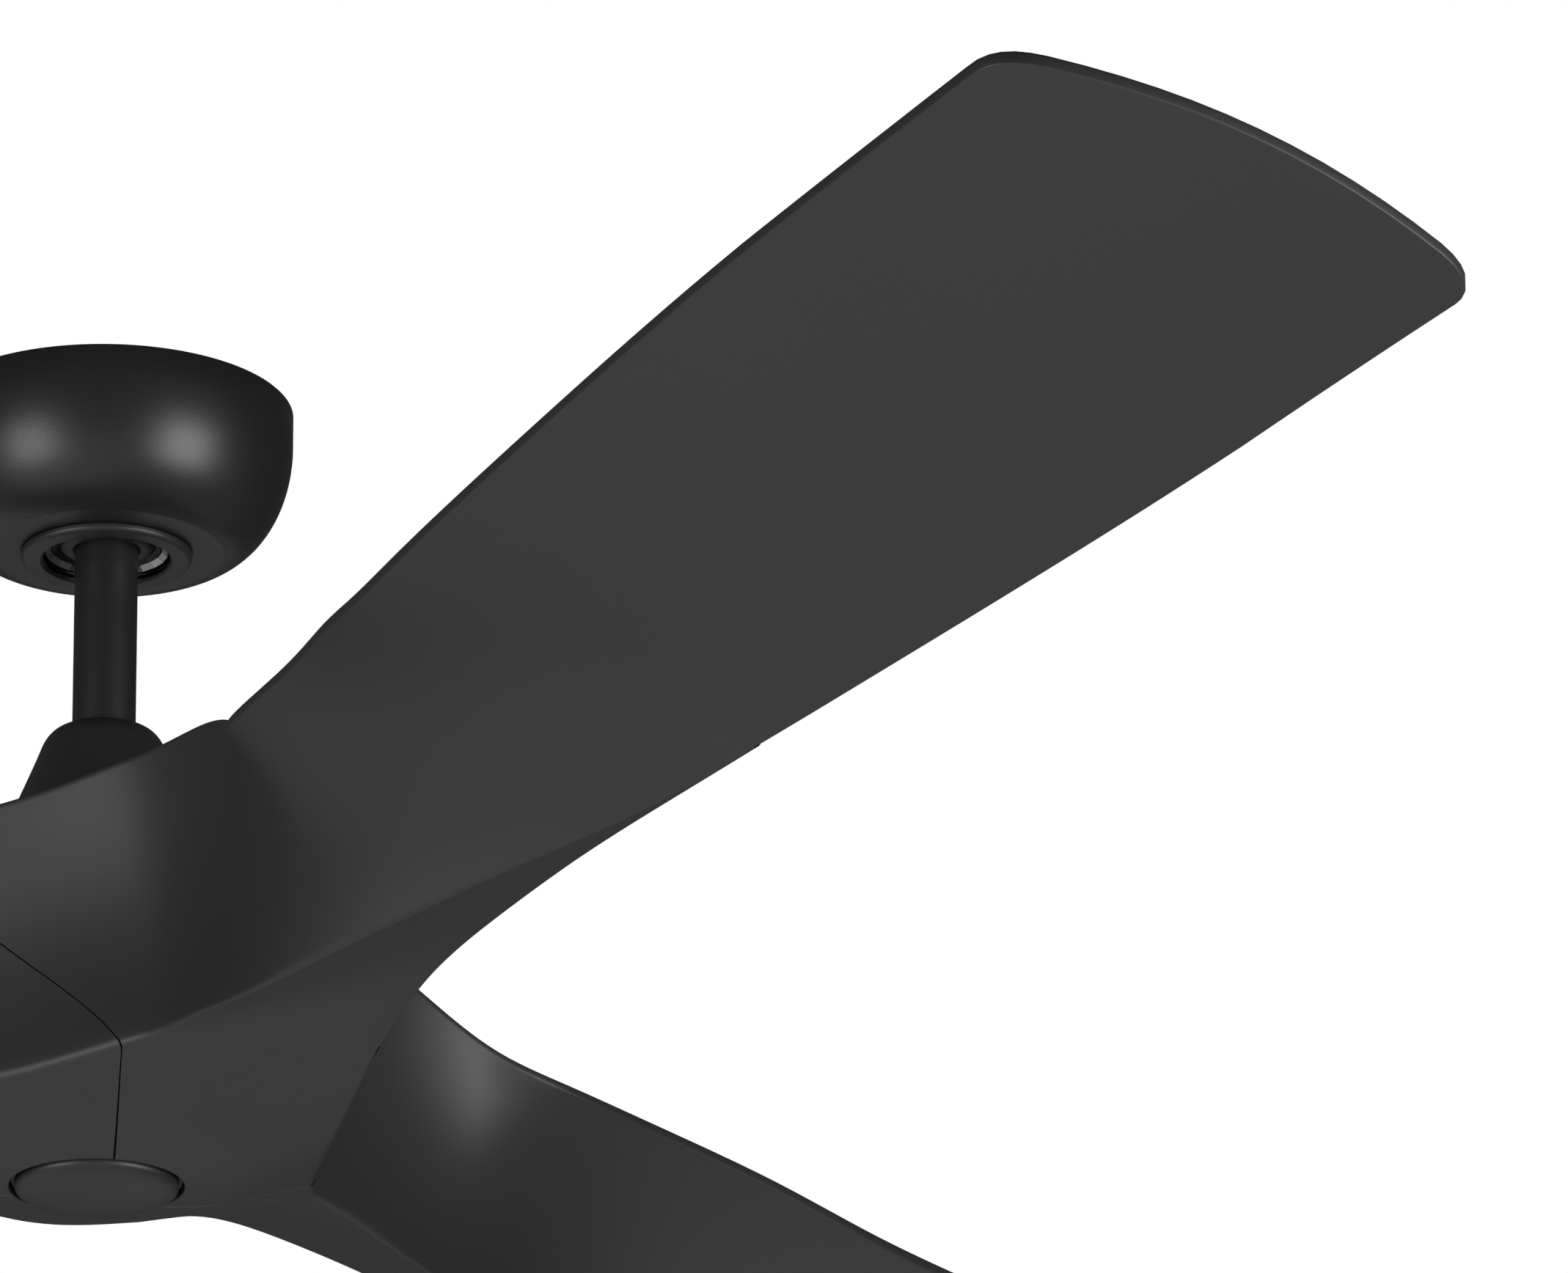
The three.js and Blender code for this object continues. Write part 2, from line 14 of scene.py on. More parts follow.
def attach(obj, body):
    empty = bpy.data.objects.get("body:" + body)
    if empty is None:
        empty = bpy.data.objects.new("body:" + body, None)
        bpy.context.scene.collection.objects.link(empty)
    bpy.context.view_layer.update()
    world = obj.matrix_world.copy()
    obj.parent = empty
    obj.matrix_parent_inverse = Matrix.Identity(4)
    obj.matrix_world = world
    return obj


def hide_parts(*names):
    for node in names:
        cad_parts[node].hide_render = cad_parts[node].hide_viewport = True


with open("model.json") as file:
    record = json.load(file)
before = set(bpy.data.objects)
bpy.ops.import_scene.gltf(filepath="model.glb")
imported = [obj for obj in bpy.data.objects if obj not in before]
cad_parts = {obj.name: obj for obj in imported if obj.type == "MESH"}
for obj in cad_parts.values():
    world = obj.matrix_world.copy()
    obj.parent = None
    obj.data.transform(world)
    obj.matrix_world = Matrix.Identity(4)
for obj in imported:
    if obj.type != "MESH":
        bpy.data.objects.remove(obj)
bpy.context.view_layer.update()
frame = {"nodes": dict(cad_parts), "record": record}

MM = 0.001
BLADES = 3
STEP = 2 * math.pi / BLADES
BLADE_1_ANGLE = -math.pi / 2
RING_RADIUS = 28.8
RING_Z = -276.3
TOP_RADIUS = 60.0
TOP_Z = -168.0


# ---------- curves and mesh helpers ----------
def smooth_curve(points, places):
    """A natural cubic spline through points, read at the given (fractional) point numbers."""
    p = np.array(points, float)
    n = len(p)
    system = np.eye(n)
    right = np.zeros_like(p)
    for i in range(1, n - 1):
        system[i, i - 1:i + 2] = (1, 4, 1)
        right[i] = 6 * (p[i + 1] - 2 * p[i] + p[i - 1])
    bend = np.linalg.solve(system, right)
    t = np.asarray(places, float)
    i = np.clip(t.astype(int), 0, n - 2)
    b = (t - i)[..., None]
    a = 1 - b
    return a * p[i] + b * p[i + 1] + ((a**3 - a) * bend[i] + (b**3 - b) * bend[i + 1]) / 6


def turn(points, angle):
    c, s = math.cos(angle), math.sin(angle)
    p = np.asarray(points, float)
    return np.stack([p[..., 0] * c - p[..., 1] * s, p[..., 0] * s + p[..., 1] * c, p[..., 2]], -1)


def bezier(controls, count):
    """Points of the Bezier curve with these control points."""
    t = np.linspace(0, 1, count)[:, None]
    level = [np.array(c, float)[None, :] for c in controls]
    while len(level) > 1:
        level = [(1 - t) * a + t * b for a, b in zip(level, level[1:])]
    return level[0]


def arc(centre, radius, start, end, count):
    """Points of a circle arc in a plane, with its angles in degrees."""
    angles = np.radians(np.linspace(start, end, count))
    return np.stack([centre[0] + radius * np.cos(angles), centre[1] + radius * np.sin(angles)], -1)


def unit(vectors):
    return vectors / np.maximum(np.linalg.norm(vectors, axis=-1, keepdims=True), 1e-9)


def ease(value, low, high):
    """0 below low, 1 above high, and a smooth step between."""
    t = np.clip((np.asarray(value, float) - low) / (high - low), 0, 1)
    return t * t * (3 - 2 * t)


class Surface:
    """Collects grids of points into one mesh, and merges the points they share."""

    def __init__(self):
        self.points = []
        self.faces = []

    def grid(self, rows):
        """rows is an array [m, n, 3] of points; each cell becomes one face."""
        rows = np.asarray(rows, float)
        m, n = rows.shape[:2]
        base = len(self.points)
        self.points.extend(rows.reshape(-1, 3).tolist())
        for i in range(m - 1):
            for j in range(n - 1):
                a = base + i * n + j
                self.faces.append((a, a + 1, a + n + 1, a + n))

    def make(self, name, merge=0.02, sharp=50):
        mesh = bpy.data.meshes.new(name)
        mesh.from_pydata([Vector(p) * MM for p in self.points], [], self.faces)
        piece = bpy.data.objects.new(name, mesh)
        bpy.context.scene.collection.objects.link(piece)
        work = bmesh.new()
        work.from_mesh(mesh)
        bmesh.ops.remove_doubles(work, verts=work.verts, dist=merge * MM)
        bmesh.ops.dissolve_degenerate(work, edges=work.edges, dist=0.005 * MM)
        bmesh.ops.recalc_face_normals(work, faces=work.faces)
        work.to_mesh(mesh)
        work.free()
        mesh.shade_smooth()
        mesh.set_sharp_from_angle(angle=math.radians(sharp))
        return piece


def rounded(corners, radius, steps=6):
    """A closed profile with rounded corners, each (radius, height) or (radius, height, own rounding)."""
    result = []
    count = len(corners)
    for i in range(count):
        here = np.array(corners[i][:2], float)
        before = np.array(corners[i - 1][:2], float)
        after = np.array(corners[(i + 1) % count][:2], float)
        size = corners[i][2] if len(corners[i]) > 2 else radius
        size = min(size, np.linalg.norm(before - here) / 2.05, np.linalg.norm(after - here) / 2.05)
        if size <= 0:
            result.append(tuple(here))
            continue
        start = here + unit(before - here) * size
        end = here + unit(after - here) * size
        result.extend(tuple(p) for p in bezier((start, here, end), steps))
    return result + [result[0]]


def turned(name, profile, segments=160, sharp=40):
    """A turned piece. Its profile of (radius, height) closes on itself or starts and ends on the axis."""
    surface = Surface()
    loop = np.array(profile, float)
    angles = np.linspace(0, 2 * math.pi, segments + 1)
    across = [np.stack([loop[:, 0] * math.cos(a), loop[:, 0] * math.sin(a), loop[:, 1]], -1) for a in angles]
    surface.grid(np.stack(across))
    return surface.make(name, merge=0.01, sharp=sharp)


# ---------- materials ----------
GRAIN_DEPTH = 0.0002
METAL_GRAIN = 300.0


def black_finish(name, grey, rough, grain, bump):
    """A satin black, with a small drift in its grey and a fine grain in its roughness and relief."""
    material = bpy.data.materials.new(name)
    material.use_nodes = True
    nodes, links = material.node_tree.nodes, material.node_tree.links
    shader = nodes["Principled BSDF"]
    shader.inputs["Metallic"].default_value = 0.0
    shader.inputs["IOR"].default_value = 1.5
    place = nodes.new("ShaderNodeTexCoord")
    cloud = nodes.new("ShaderNodeTexNoise")
    cloud.inputs["Scale"].default_value = 7.0
    cloud.inputs["Detail"].default_value = 3.0
    links.new(place.outputs["Object"], cloud.inputs["Vector"])
    shade = nodes.new("ShaderNodeMapRange")
    shade.inputs["To Min"].default_value = grey * 0.93
    shade.inputs["To Max"].default_value = grey * 1.07
    links.new(cloud.outputs["Fac"], shade.inputs["Value"])
    tint = nodes.new("ShaderNodeCombineColor")
    for channel in ("Red", "Green", "Blue"):
        links.new(shade.outputs["Result"], tint.inputs[channel])
    links.new(tint.outputs["Color"], shader.inputs["Base Color"])
    fine = nodes.new("ShaderNodeTexNoise")
    fine.inputs["Scale"].default_value = grain
    fine.inputs["Detail"].default_value = 2.0
    links.new(place.outputs["Object"], fine.inputs["Vector"])
    gloss = nodes.new("ShaderNodeMapRange")
    gloss.inputs["To Min"].default_value = rough - 0.03
    gloss.inputs["To Max"].default_value = rough + 0.03
    links.new(fine.outputs["Fac"], gloss.inputs["Value"])
    links.new(gloss.outputs["Result"], shader.inputs["Roughness"])
    relief = nodes.new("ShaderNodeBump")
    relief.inputs["Strength"].default_value = bump
    relief.inputs["Distance"].default_value = GRAIN_DEPTH
    links.new(fine.outputs["Fac"], relief.inputs["Height"])
    links.new(relief.outputs["Normal"], shader.inputs["Normal"])
    return material


def metal_finish(name, colour, rough):
    """A bare metal with a fine variation in its polish and tone."""
    material = bpy.data.materials.new(name)
    material.use_nodes = True
    nodes, links = material.node_tree.nodes, material.node_tree.links
    shader = nodes["Principled BSDF"]
    shader.inputs["Metallic"].default_value = 1.0
    place = nodes.new("ShaderNodeTexCoord")
    fine = nodes.new("ShaderNodeTexNoise")
    fine.inputs["Scale"].default_value = METAL_GRAIN
    links.new(place.outputs["Object"], fine.inputs["Vector"])
    gloss = nodes.new("ShaderNodeMapRange")
    gloss.inputs["To Min"].default_value = rough - 0.06
    gloss.inputs["To Max"].default_value = rough + 0.08
    links.new(fine.outputs["Fac"], gloss.inputs["Value"])
    links.new(gloss.outputs["Result"], shader.inputs["Roughness"])
    ramp = nodes.new("ShaderNodeValToRGB")
    ramp.color_ramp.elements[0].color = (*(c * 0.85 for c in colour), 1)
    ramp.color_ramp.elements[1].color = (*colour, 1)
    links.new(fine.outputs["Fac"], ramp.inputs["Fac"])
    links.new(ramp.outputs["Color"], shader.inputs["Base Color"])
    return material


BLADE_BLACK = black_finish("blade_black", 0.026, 0.50, 2200.0, 0.10)
HUB_BLACK = black_finish("hub_black", 0.020, 0.45, 2200.0, 0.10)
COAT_BLACK = black_finish("coat_black", 0.016, 0.38, 1500.0, 0.12)
NYLON_BLACK = black_finish("nylon_black", 0.012, 0.5, 900.0, 0.1)
ZINC = metal_finish("zinc_steel", (0.55, 0.56, 0.58), 0.35)
ALUMINIUM = metal_finish("cast_aluminium", (0.5, 0.51, 0.53), 0.5)
COPPER = metal_finish("copper_winding", (0.62, 0.27, 0.12), 0.35)
FERRITE = metal_finish("ferrite", (0.07, 0.07, 0.075), 0.6)
BY_SLOT = {
    "satin_black_plastic": BLADE_BLACK, "black_coated_steel": COAT_BLACK, "black_nylon": NYLON_BLACK,
    "zinc_steel": ZINC, "cast_aluminium": ALUMINIUM, "copper_winding": COPPER, "ferrite": FERRITE,
}


def paint(piece, material):
    piece.data.materials.clear()
    piece.data.materials.append(material)


def add(piece, body, slot, material, *nodes):
    paint(piece, material)
    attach(piece, body)
    if nodes:
        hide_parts(*nodes)


# ---------- blades ----------
# One blade in its own frame: X out along the blade, Y towards the trailing edge. UPPER and LOWER are the two
# sides of its main underside, in matching rows. UPPER runs along the hub's rim, then the leading edge. LOWER
# runs along the ridge round the hub, then the crease, then the trailing edge.
UPPER = [(-5, -114, -187), (20, -95, -179), (44, -71, -172), (65, -50, -167), (84.5, -35, -162.5),
         (104, -26, -161), (130.5, -22, -162), (156.5, -24, -169.5), (183, -33, -182), (209, -46, -190),
         (261, -51, -192), (316, -62, -198.5), (366, -73, -207.5), (430, -82, -212.5), (530, -87, -212.5),
         (650, -85, -207), (790, -78, -202)]
LOWER = [(-1, -115, -250), (24, -86, -260), (46.5, -61.5, -263), (68, -42, -260), (85, -28, -257),
         (100, -20, -256), (123, -17, -257), (150, -15, -260), (180, -8, -259), (225, 7, -255),
         (273, 26, -249.5), (316, 46.5, -243), (366, 63, -235.5), (430, 68, -235.5), (530, 72.5, -237.5),
         (650, 74.5, -241), (790, 72, -246)]
# The free edge of the lower facet, from the gap between two blades out to where the crease runs into it.
TRAIL = [(100, 57, -250), (139, 57.5, -237.5), (190, 60, -232), (245, 62, -230.5), (300, 64.5, -231),
         (345, 65, -233), (366, 63, -235.5)]
SEAM_ROW = 4.0
SEAM_RIM_ROW = 1.15
SEAM_BEND = 0.875
SEAM_FADE_ROWS = 4.5
GAP_ROW = 5
MERGE_ROW = 12
TIP_ROW = 15
SEAM_GAP = 0.4
BLADE_THICKNESS = 4.2
HUB_EDGE = 1.2
BLADE_WIDTH_AT_GAP = 63.0
EDGE_CHAMFER = 1.1
HUB_CHAMFER_SHARE = 0.4
EDGE_GROWS = (6, 12)
TIP_LENGTH = 803.0
TIP_EDGE_ROW = 15.9
TIP_BOW = 13.0
TIP_CORNER = 15.0
EDGE_ROUND = 0.6
ROW_SPACING = 30.0
SHARES = 25
GAP_INDEX = 8
FINGER_ROWS = 64
OUTER_ROWS = 25
END_ROWS = 15
NEIGHBOUR_ROWS = 28
HUB_HOLLOW = 6.0
BLADE_HOLLOW = 4.0
ROOT_SAG = 8.0
FILLET = 3.0
FILLET_SHARE = 0.3
SEAM_RING_ANGLE = math.radians(-12)
DISH_RADIUS = 48.0
DISH_RISE = 3.6
DISH_BLEND = 5.0
RING_ROUND = 1.3
RING_DEPTH = 4.0
LIP_DEPTH = 3.0
LIP_ROUND = 0.25
LIP_STEP = 0.12


def thickness_at(rows):
    """Height of the blade's edge wall: thin at the hub, full from about the middle outwards."""
    return HUB_EDGE + (BLADE_THICKNESS - EDGE_CHAMFER - HUB_EDGE) * ease(rows, *EDGE_GROWS)


def upper_at(rows):
    """The main underside's upper boundary. It lies under the edge wall, so it is lower than UPPER."""
    points = smooth_curve(UPPER, rows)
    points[..., 2] -= thickness_at(rows) + EDGE_CHAMFER * ease(rows, *EDGE_GROWS)
    return points


def lower_at(rows):
    return smooth_curve(LOWER, rows)


def inward_at(rows):
    """The direction from the main underside into the body of the blade."""
    rows = np.asarray(rows, float)
    last = len(UPPER) - 1
    step = 0.05
    ahead, behind = np.minimum(rows + step, last), np.maximum(rows - step, 0)
    along = (upper_at(ahead) + lower_at(ahead)) - (upper_at(behind) + lower_at(behind))
    across = lower_at(rows) - upper_at(rows)
    return unit(np.cross(along, across))


def main_face(rows, shares):
    """Points of the main underside: shares run from 0 at the upper boundary to 1 at the lower one."""
    top, low = upper_at(rows), lower_at(rows)
    hollow = HUB_HOLLOW + (BLADE_HOLLOW - HUB_HOLLOW) * ease(rows, 4, 10)
    bow = hollow * np.sin(np.pi * shares)
    return top + (low - top) * shares[..., None] + inward_at(rows) * bow[..., None]


# Beyond MERGE_ROW the rows run straight across the blade, so a place along it gives its row.
STRAIGHT_ROWS = np.linspace(12, 16, 81)
ROW_REACH = smooth_curve(UPPER, STRAIGHT_ROWS)[:, 0]


def outer_height(x, y):
    """Height of the main underside out where its rows run straight across, at any x and y on it."""
    rows = np.interp(x, ROW_REACH, STRAIGHT_ROWS)
    top, low = upper_at(rows), lower_at(rows)
    share = np.clip((y - top[..., 1]) / (low[..., 1] - top[..., 1]), 0, 1)
    return top[..., 2] + (low[..., 2] - top[..., 2]) * share + BLADE_HOLLOW * np.sin(np.pi * share)


def tip_outline():
    """The end of the blade, from its leading side round to its trailing side."""
    lead = upper_at(np.array([TIP_EDGE_ROW]))[0]
    trail = lower_at(np.array([TIP_EDGE_ROW]))[0]
    half = (trail[1] - lead[1]) / 2
    middle = (trail[1] + lead[1]) / 2

    def side(y):
        return TIP_LENGTH - TIP_BOW * ((y - middle) / half)**2

    lead_end = (side(lead[1] + TIP_CORNER), lead[1] + TIP_CORNER)
    trail_end = (side(trail[1] - TIP_CORNER), trail[1] - TIP_CORNER)
    front = bezier(((side(lead[1]) - TIP_CORNER, lead[1]), (side(lead[1]), lead[1]), lead_end), 7)
    back = bezier((trail_end, (side(trail[1]), trail[1]), (side(trail[1]) - TIP_CORNER, trail[1])), 7)
    count = SHARES - len(front) - len(back)
    y = np.linspace(lead_end[1], trail_end[1], count + 2)[1:-1]
    between = np.stack([side(y), y], -1)
    flat = np.concatenate([front, between, back])
    return np.concatenate([flat, outer_height(flat[:, 0], flat[:, 1])[:, None]], 1)


def seam_row(shares):
    """The seam slants over the main underside, from SEAM_ROW on the ridge to SEAM_RIM_ROW on the rim."""
    return SEAM_RIM_ROW + (SEAM_ROW - SEAM_RIM_ROW - SEAM_BEND) * shares + SEAM_BEND * shares**2


def blade_rows(shares):
    """Row numbers over the main underside, from the slanted seam outwards to the last straight row."""
    low = np.concatenate([np.linspace(SEAM_ROW, GAP_ROW, GAP_INDEX + 1),
                          np.linspace(GAP_ROW, MERGE_ROW, FINGER_ROWS)[1:],
                          np.linspace(MERGE_ROW, TIP_ROW, OUTER_ROWS)[1:]])
    fade = (1 - np.clip((low - SEAM_ROW) / SEAM_FADE_ROWS, 0, 1))**1.6
    return low, low[:, None] - fade[:, None] * (SEAM_ROW - seam_row(shares))[None, :]


def fillet_size(rows):
    return FILLET * (1 - 0.97 * ease(rows, 8, 11.6))


def pull_back(edge, inside, size):
    """Moves edge points towards the points next to them on a surface by size."""
    return edge + unit(inside - edge) * size[..., None]


def fillet_strip(first, corner, last):
    t = np.linspace(0, 1, 6)[None, :, None]
    return (1 - t)**2 * first[:, None] + 2 * t * (1 - t) * corner[:, None] + t**2 * last[:, None]


def trimmed(face, size):
    """Shortens every row of a face at its far end by size, and respaces its points."""
    end = face[:, -1]
    before = face[:, -2]
    face = face.copy()
    cut_end = pull_back(end, before, size)
    shift = cut_end - end
    share = np.linspace(0, 1, face.shape[1])**3
    return face + shift[:, None, :] * share[None, :, None]


def edge_profile(boundary, inside, wall, chamfer):
    """The blade's edge over each boundary point: a small round, a wall, and a chamfer up to the top skin."""
    along = np.gradient(boundary, axis=0)
    along[..., 2] = 0
    out = unit(np.stack([along[:, 1], -along[:, 0], np.zeros(len(along))], -1))
    out *= np.sign(np.sum(out * (boundary - inside), axis=1, keepdims=True))
    up = np.array((0, 0, 1.0))
    low = boundary[:, None] + np.minimum(EDGE_ROUND, wall * 0.5)[:, None, None] * up
    base = fillet_strip(pull_back(boundary, inside, np.full(len(boundary), EDGE_ROUND)), boundary, low[:, 0])
    wall_top = boundary + wall[:, None] * up
    top = wall_top + chamfer[:, None] * (up - out)
    corner = wall_top + chamfer[:, None] * 0.35 * (up - out * 0.1)
    return np.concatenate([base, wall_top[:, None], fillet_strip(wall_top, corner, top)[:, 1:]], 1)


def coons(bottom, top, left, right):
    """A patch between four edge curves that share their corners."""
    s = np.linspace(0, 1, len(bottom))[:, None, None]
    t = np.linspace(0, 1, len(left))[None, :, None]
    ruled = (1 - t) * bottom[:, None] + t * top[:, None] + (1 - s) * left[None] + s * right[None]
    corners = ((1 - s) * (1 - t) * bottom[0] + s * (1 - t) * bottom[-1]
               + (1 - s) * t * top[0] + s * t * top[-1])
    return ruled - corners


def lip(border, inward, towards):
    """A narrow return along a border, so that the moulded wall has a thickness."""
    inward, towards = np.broadcast_to(inward, border.shape), np.broadcast_to(towards, border.shape)
    turn_in = border + LIP_ROUND * inward + LIP_STEP * towards
    return np.stack([border, turn_in, turn_in + LIP_DEPTH * inward], 1)


def fan_heights(reach, end_reach, end_height):
    """Heights of the lower facet: a shallow dish round the cap, then a straight slope to the ridge."""
    def kink(radius):
        beyond = radius - DISH_RADIUS
        return (np.sqrt(beyond**2 + DISH_BLEND**2) + beyond) / 2

    slope_in = DISH_RISE / (DISH_RADIUS - RING_RADIUS)
    rise = end_height - RING_Z - slope_in * (end_reach - RING_RADIUS)
    rise /= kink(end_reach) - kink(RING_RADIUS)
    return RING_Z + slope_in * (reach - RING_RADIUS) + rise * (kink(reach) - kink(RING_RADIUS))


def build_fan(out_line, sizes):
    """The lower facet from the cap ring to out_line, which runs from one seam to the next."""
    angles = np.unwrap(np.arctan2(out_line[:, 1], out_line[:, 0]))
    seam_half = SEAM_GAP / RING_RADIUS
    share = (angles - angles[0]) / (angles[-1] - angles[0])
    ring_angles = SEAM_RING_ANGLE + seam_half + (STEP - 2 * seam_half) * share
    ring = np.stack([RING_RADIUS * np.cos(ring_angles), RING_RADIUS * np.sin(ring_angles),
                     np.full(len(angles), RING_Z)], -1)
    radial = np.linspace(0, 1, 25)
    fan = ring[:, None, :] + (out_line - ring)[:, None, :] * radial[None, :, None]
    reach = np.linalg.norm(fan[..., :2], axis=-1)
    fan[..., 2] = fan_heights(reach, reach[:, -1:], out_line[:, 2:])
    fan = trimmed(fan, sizes)
    rim = fan[:, 0].copy()
    fan[:, 0] = pull_back(rim, fan[:, 1], np.full(len(fan), RING_ROUND))
    upright = rim + (0, 0, RING_ROUND)
    roll = fillet_strip(upright, rim, fan[:, 0])
    return np.concatenate([(upright + (0, 0, RING_DEPTH))[:, None], roll[:, :-1], fan], 1)


def build_blade(name):
    surface = Surface()
    shares = np.linspace(0, 1, SHARES)
    low_rows, rows = blade_rows(shares)
    seam_step = SEAM_GAP / ROW_SPACING
    low_rows[0] += seam_step
    rows[0] += seam_step
    corner = lower_at(low_rows)
    main = trimmed(main_face(rows, np.broadcast_to(shares, rows.shape)), fillet_size(low_rows))
    spread = np.linspace(0, 1, END_ROWS)[1:, None, None]
    end = main[-1][None] + (tip_outline() - main[-1])[None] * spread
    end[..., 2] = outer_height(end[..., 0], end[..., 1])
    main = np.concatenate([main, end])

    # the neighbour's wall, from the gap between the blades up to the seam
    n_low = np.linspace(0, SEAM_ROW - seam_step, NEIGHBOUR_ROWS)
    n_rows = (n_low / SEAM_ROW)[:, None] * seam_row(shares)[None, :]
    n_corner = turn(lower_at(n_low), STEP)
    n_size = FILLET * 1.3 * ease(n_low, -0.6, 1.0)
    wall = trimmed(turn(main_face(n_rows, np.broadcast_to(shares, n_rows.shape)), STEP), n_size)

    # lower facet: its finger between the crease and the free edge, and its fan from the cap ring to the ridge
    merge = GAP_INDEX + FINGER_ROWS - 1
    crease = corner[GAP_INDEX:merge + 1]
    free = smooth_curve(TRAIL, np.linspace(0, len(TRAIL) - 1, FINGER_ROWS))
    free[-1] = crease[-1]
    across = np.linspace(0, 1, 11)
    finger = free[:, None, :] + (crease - free)[:, None, :] * across[None, :, None]
    room = FILLET_SHARE * np.linalg.norm(free - crease, axis=1)
    finger_size = np.minimum(fillet_size(low_rows[GAP_INDEX:merge + 1]), room)
    finger = trimmed(finger, finger_size)[:, ::-1]
    crossing = finger[0]
    out_line = np.concatenate([corner[:GAP_INDEX], crossing, n_corner[1:]])
    sizes = np.concatenate([fillet_size(low_rows[:GAP_INDEX]), np.zeros(len(crossing)), n_size[1:]])
    fan = build_fan(out_line, sizes)

    # rounded ridge between the main underside and the lower facet
    inner_side = np.concatenate([fan[:GAP_INDEX, -1], finger[:, 0]])
    surface.grid(fillet_strip(main[:merge + 1, -1], corner[:merge + 1], inner_side))
    surface.grid(fillet_strip(wall[:, -1], n_corner, fan[GAP_INDEX + len(crossing) - 1:, -1]))

    # edge round the blade, from the hub's rim out along the leading side, round the tip and back to the gap
    lead, tip, trail = main[:, 0], main[-1, 1:-1], main[merge:, -1][::-1]
    loop = np.concatenate([lead, tip, trail, free[:-1][::-1]])
    inside = np.concatenate([main[:, 1], main[-2, 1:-1], main[merge:, -2][::-1], finger[:-1, -2][::-1]])
    outer_rows = np.full(len(end), float(TIP_ROW))
    loop_rows = np.concatenate([low_rows, outer_rows, np.full(len(tip), float(TIP_ROW)), outer_rows,
                                low_rows[merge:][::-1], low_rows[GAP_INDEX:merge][::-1]])
    back = np.arange(len(loop)) >= len(lead) + len(tip)
    edge_rows = np.where(back, np.maximum(loop_rows, 10), loop_rows)
    chamfer = EDGE_CHAMFER * (HUB_CHAMFER_SHARE + (1 - HUB_CHAMFER_SHARE) * ease(edge_rows, *EDGE_GROWS))
    edge = edge_profile(loop, inside, thickness_at(edge_rows), chamfer)
    main[:, 0] = edge[:len(lead), 0]
    main[-1, 1:-1] = edge[len(lead):len(lead) + len(tip), 0]
    main[merge:, -1] = edge[len(lead) + len(tip):len(lead) + len(tip) + len(trail), 0][::-1]
    finger[:-1, -1] = edge[len(lead) + len(tip) + len(trail):, 0][::-1]
    fan[GAP_INDEX + len(crossing) - 1, -1] = finger[0, -1]
    surface.grid(edge)
    surface.grid(main)
    surface.grid(wall)
    surface.grid(finger)
    surface.grid(fan)

    # top skin between the tops of the two edges
    top_edge = edge[:, -1]
    lead_top = top_edge[:len(lead)]
    tip_top = top_edge[len(lead):len(lead) + len(tip)]
    trail_top = top_edge[len(lead) + len(tip):][::-1]
    first, last = lead_top[GAP_INDEX:], trail_top
    top = first[:, None] + (last - first)[:, None] * shares[None, :, None]
    top_rows = np.concatenate([low_rows[GAP_INDEX:], outer_rows])
    bow = BLADE_HOLLOW - (BLADE_HOLLOW + ROOT_SAG) * (1 - ease(top_rows, 5, 12))
    top[..., 2] += bow[:, None] * np.sin(np.pi * shares)[None, :]
    tip_row = np.concatenate([first[-1:], tip_top, last[-1:]])
    base = top[-len(end) - 1].copy()
    top[-len(end):] = base[None] + (tip_row - base)[None] * spread
    outer = top[-len(end):, 1:-1]
    outer[..., 2] = outer_height(outer[..., 0], outer[..., 1]) + BLADE_THICKNESS
    top[-1] = tip_row
    top[-len(end):, 0], top[-len(end):, -1] = first[-len(end):], last[-len(end):]
    surface.grid(top)

    # the rim of the hub top: own rim, the stretch over the blade's root, and the neighbour's rim
    n_edge = edge_profile(wall[:, 0], wall[:, 1], np.full(len(n_low), thickness_at(0.0)),
                          np.full(len(n_low), EDGE_CHAMFER * HUB_CHAMFER_SHARE))
    surface.grid(n_edge)
    n_top = n_edge[:, -1]
    middle = (lead_top[GAP_INDEX] + n_top[0]) / 2 + (9, 2, 2)
    stretch = bezier((lead_top[GAP_INDEX], middle, n_top[0]), SHARES)
    side_shares = np.linspace(1 - thickness_at(12.0) / BLADE_WIDTH_AT_GAP, 0, SHARES)
    side = turn(main_face(np.zeros(SHARES), side_shares), STEP)
    side[0], side[-1] = top[0, -1], n_top[0]
    surface.grid(coons(top[0], stretch, np.repeat(top[0][:1], SHARES, 0), side))
    rim = np.concatenate([lead_top[:GAP_INDEX + 1], stretch[1:], n_top[1:]])
    rim_angles = np.unwrap(np.arctan2(rim[:, 1], rim[:, 0]))
    circle = np.stack([TOP_RADIUS * np.cos(rim_angles), TOP_RADIUS * np.sin(rim_angles),
                       np.full(len(rim), TOP_Z)], -1)
    radial = np.linspace(0, 1, 13)
    crown = rim[:, None] + (circle - rim)[:, None] * radial[None, :, None]
    crown[..., 2] = rim[:, None, 2] + (TOP_Z - rim[:, None, 2]) * np.sin(radial * math.pi / 2)[None, :]
    surface.grid(crown)

